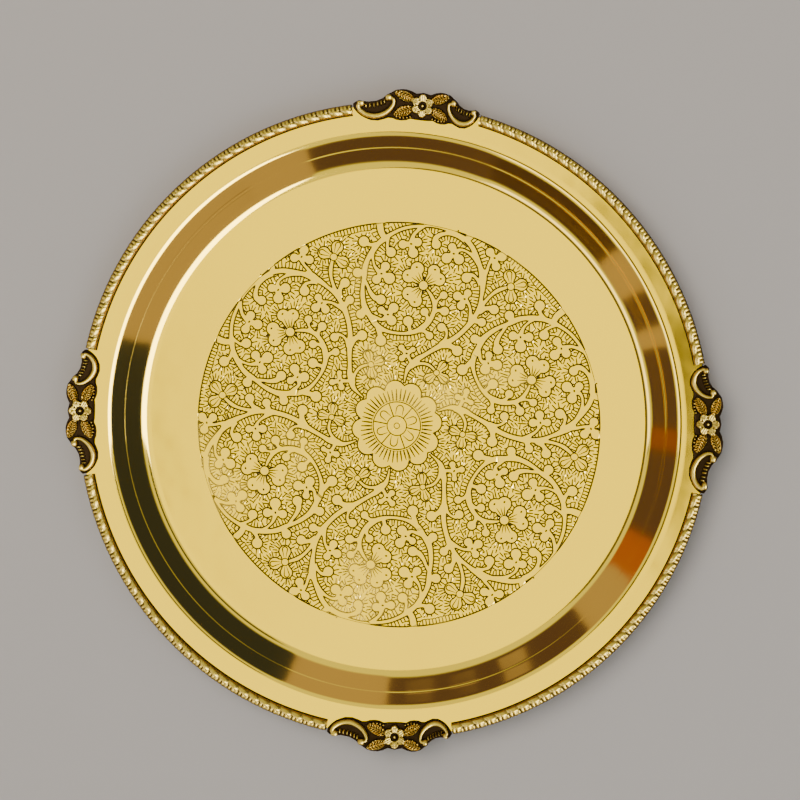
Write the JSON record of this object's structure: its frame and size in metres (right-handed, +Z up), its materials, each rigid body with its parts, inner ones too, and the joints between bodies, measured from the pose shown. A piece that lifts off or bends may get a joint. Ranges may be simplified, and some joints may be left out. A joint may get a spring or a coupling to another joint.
{
  "type": "round serving tray",
  "caption": "Round brass serving tray: spun dished pan with an engraved floral floor, gadrooned cast border strips and cast flower-and-scroll mounts soldered over its edge.",
  "frame": {"origin": "on the tray's axis, at the height of the surface the tray stands on", "axes": "+Z up out of the well; +Y towards the flower mount at the top of the picture's view, 5 degrees past it; +X to that view's right"},
  "size_m": [0.3048, 0.3048, 0.0187],
  "materials": {
    "polished_brass": "bright hand polished, lightly rolled sheet",
    "antique_cast_brass": "cast, dark patina in the recesses, rubbed bright on the high points",
    "soft_solder": "dull grey soft solder, as run"
  },
  "bodies": {
    "root": {"tray_pan": "polished_brass", "border_strip_top_left": "antique_cast_brass", "border_strip_left_bottom": "antique_cast_brass", "border_strip_bottom_right": "antique_cast_brass", "border_strip_right_top": "antique_cast_brass", "flower_mount_top": "antique_cast_brass", "flower_mount_left": "antique_cast_brass", "flower_mount_bottom": "antique_cast_brass", "flower_mount_right": "antique_cast_brass", "border_solder_top_left": "soft_solder", "border_solder_left_bottom": "soft_solder", "border_solder_bottom_right": "soft_solder", "border_solder_right_top": "soft_solder", "mount_solder_top": "soft_solder", "mount_solder_left": "soft_solder", "mount_solder_bottom": "soft_solder", "mount_solder_right": "soft_solder"}
  },
  "joints": []
}
